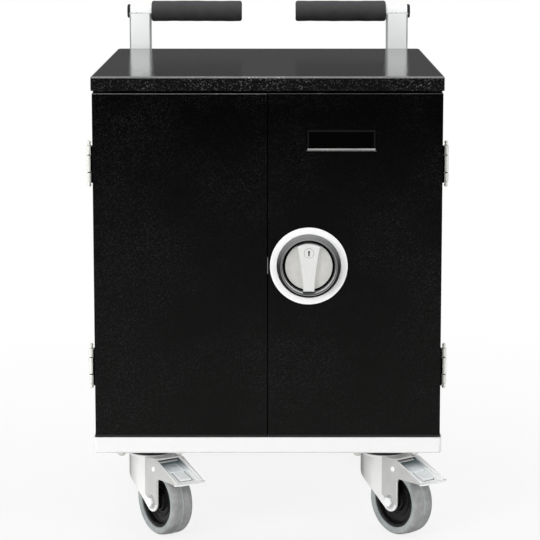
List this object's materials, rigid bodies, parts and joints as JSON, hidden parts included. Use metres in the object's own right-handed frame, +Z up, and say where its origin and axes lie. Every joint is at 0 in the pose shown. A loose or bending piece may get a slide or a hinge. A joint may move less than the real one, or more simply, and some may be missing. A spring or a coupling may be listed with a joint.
{
  "type": "laptop charging cart",
  "caption": "Wheeled steel cabinet with double doors, a turning rod lock, push handles, braked castors, upright laptop racks and a power strip, for storing and charging laptops.",
  "frame": {"origin": "on the floor, under the middle of the cart's overall width and depth", "axes": "+Z up, the doors face -Y, +X to the right of someone facing the doors"},
  "size_m": [0.5301, 0.6594, 0.7709],
  "materials": {
    "cabinet_black": "fine textured powder coat",
    "base_white": "satin powder coat",
    "ring_white": "satin",
    "collar_grey": "satin, with a dark polished bore",
    "lock_steel": "satin",
    "mechanism_zinc": "zinc plated",
    "handle_zinc": "zinc plated",
    "grip_foam": "matt foam",
    "hinge_black": "powder coat",
    "hinge_steel": "bright",
    "castor_zinc": "zinc plated",
    "pedal_zinc": "zinc plated",
    "axle_steel": "zinc plated",
    "wheel_hub": "moulded",
    "tyre_grey": "matt rubber",
    "rack_grey": "moulded",
    "power_black": "moulded"
  },
  "bodies": {
    "root": {"floor_panel": "cabinet_black", "right_side_panel": "cabinet_black", "left_side_panel": "cabinet_black", "back_panel": "cabinet_black", "top_lid": "cabinet_black", "mid_shelf": "cabinet_black", "base_tray": "base_white", "right_handle_frame": "handle_zinc", "left_handle_frame": "handle_zinc", "right_handle_grip": "grip_foam", "left_handle_grip": "grip_foam", "right_lower_hinge_frame_leaf": "hinge_black", "right_lower_hinge_pin": "hinge_steel", "right_upper_hinge_frame_leaf": "hinge_black", "right_upper_hinge_pin": "hinge_steel", "left_lower_hinge_frame_leaf": "hinge_black", "left_lower_hinge_pin": "hinge_steel", "left_upper_hinge_frame_leaf": "hinge_black", "left_upper_hinge_pin": "hinge_steel", "front_left_castor_plate": "castor_zinc", "front_right_castor_plate": "castor_zinc", "rear_left_castor_plate": "castor_zinc", "rear_right_castor_plate": "castor_zinc", "lower_divider_rack": "rack_grey", "upper_divider_rack": "rack_grey", "power_strip": "power_black", "power_inlet": "power_black"},
    "right_door": {"right_door": "cabinet_black", "right_lower_hinge_door_leaf": "hinge_black", "right_upper_hinge_door_leaf": "hinge_black", "lock_ring": "ring_white", "lock_collar": "collar_grey", "lock_gear_case": "mechanism_zinc"},
    "left_door": {"left_door": "cabinet_black", "left_lower_hinge_door_leaf": "hinge_black", "left_upper_hinge_door_leaf": "hinge_black"},
    "lock_knob": {"lock_knob": "lock_steel", "lock_pinion": "mechanism_zinc"},
    "key_cylinder": {"key_cylinder": "lock_steel"},
    "upper_lock_rod": {"upper_lock_rod": "mechanism_zinc"},
    "lower_lock_rod": {"lower_lock_rod": "mechanism_zinc"},
    "front_left_castor": {"front_left_castor_fork": "castor_zinc", "front_left_castor_axle": "axle_steel"},
    "front_left_wheel": {"front_left_wheel_hub": "wheel_hub", "front_left_tyre": "tyre_grey"},
    "front_left_brake": {"front_left_brake_pedal": "pedal_zinc"},
    "front_right_castor": {"front_right_castor_fork": "castor_zinc", "front_right_castor_axle": "axle_steel"},
    "front_right_wheel": {"front_right_wheel_hub": "wheel_hub", "front_right_tyre": "tyre_grey"},
    "front_right_brake": {"front_right_brake_pedal": "pedal_zinc"},
    "rear_left_castor": {"rear_left_castor_fork": "castor_zinc", "rear_left_castor_axle": "axle_steel"},
    "rear_left_wheel": {"rear_left_wheel_hub": "wheel_hub", "rear_left_tyre": "tyre_grey"},
    "rear_right_castor": {"rear_right_castor_fork": "castor_zinc", "rear_right_castor_axle": "axle_steel"},
    "rear_right_wheel": {"rear_right_wheel_hub": "wheel_hub", "rear_right_tyre": "tyre_grey"}
  },
  "joints": [
    {"name": "right_door_swing", "type": "hinge", "parent": "root", "child": "right_door", "pos_m": [0.26, -0.28515, 0.415], "axis": [0, 0, 1], "range_deg": [0, 190]},
    {"name": "left_door_swing", "type": "hinge", "parent": "root", "child": "left_door", "pos_m": [-0.26, -0.28515, 0.415], "axis": [0, 0, -1], "range_deg": [0, 190]},
    {"name": "lock_turn", "type": "hinge", "parent": "right_door", "child": "lock_knob", "pos_m": [0.06, -0.30765, 0.415], "axis": [0, -1, 0], "range_deg": [0, 90]},
    {"name": "key_turn", "type": "hinge", "parent": "lock_knob", "child": "key_cylinder", "pos_m": [0.06, -0.30765, 0.4355], "axis": [0, -1, 0], "range_deg": [0, 90]},
    {"name": "upper_rod_slide", "type": "slide", "parent": "right_door", "child": "upper_lock_rod", "axis": [0, 0, 1], "range_m": [0, 0.0142]},
    {"name": "lower_rod_slide", "type": "slide", "parent": "right_door", "child": "lower_lock_rod", "axis": [0, 0, -1], "range_m": [0, 0.0142]},
    {"name": "front_left_swivel", "type": "hinge", "parent": "root", "child": "front_left_castor", "pos_m": [-0.176, -0.22765, 0.1185], "axis": [0, 0, 1], "continuous": true},
    {"name": "front_left_wheel_spin", "type": "hinge", "parent": "front_left_castor", "child": "front_left_wheel", "pos_m": [-0.1542, -0.25878, 0.052], "axis": [0.8192, 0.5736, 0], "continuous": true},
    {"name": "front_left_brake_press", "type": "hinge", "parent": "front_left_castor", "child": "front_left_brake", "pos_m": [-0.15019, -0.26451, 0.111], "axis": [0.8192, 0.5736, 0], "range_deg": [0, 10]},
    {"name": "front_right_swivel", "type": "hinge", "parent": "root", "child": "front_right_castor", "pos_m": [0.176, -0.22765, 0.1185], "axis": [0, 0, 1], "continuous": true},
    {"name": "front_right_wheel_spin", "type": "hinge", "parent": "front_right_castor", "child": "front_right_wheel", "pos_m": [0.20043, -0.25676, 0.052], "axis": [0.766, 0.6428, 0], "continuous": true},
    {"name": "front_right_brake_press", "type": "hinge", "parent": "front_right_castor", "child": "front_right_brake", "pos_m": [0.20492, -0.26212, 0.111], "axis": [0.766, 0.6428, 0], "range_deg": [0, 10]},
    {"name": "rear_left_swivel", "type": "hinge", "parent": "root", "child": "rear_left_castor", "pos_m": [-0.176, 0.21235, 0.1185], "axis": [0, 0, 1], "continuous": true},
    {"name": "rear_left_wheel_spin", "type": "hinge", "parent": "rear_left_castor", "child": "rear_left_wheel", "pos_m": [-0.17997, 0.25014, 0.052], "axis": [-0.9945, -0.1045, 0], "continuous": true},
    {"name": "rear_right_swivel", "type": "hinge", "parent": "root", "child": "rear_right_castor", "pos_m": [0.176, 0.21235, 0.1185], "axis": [0, 0, 1], "continuous": true},
    {"name": "rear_right_wheel_spin", "type": "hinge", "parent": "rear_right_castor", "child": "rear_right_wheel", "pos_m": [0.17997, 0.25014, 0.052], "axis": [-0.9945, 0.1045, 0], "continuous": true}
  ],
  "couplings": [
    {"joint": "upper_rod_slide", "follows": "lock_turn", "m_per_rad": 0.009},
    {"joint": "lower_rod_slide", "follows": "lock_turn", "m_per_rad": 0.009}
  ]
}
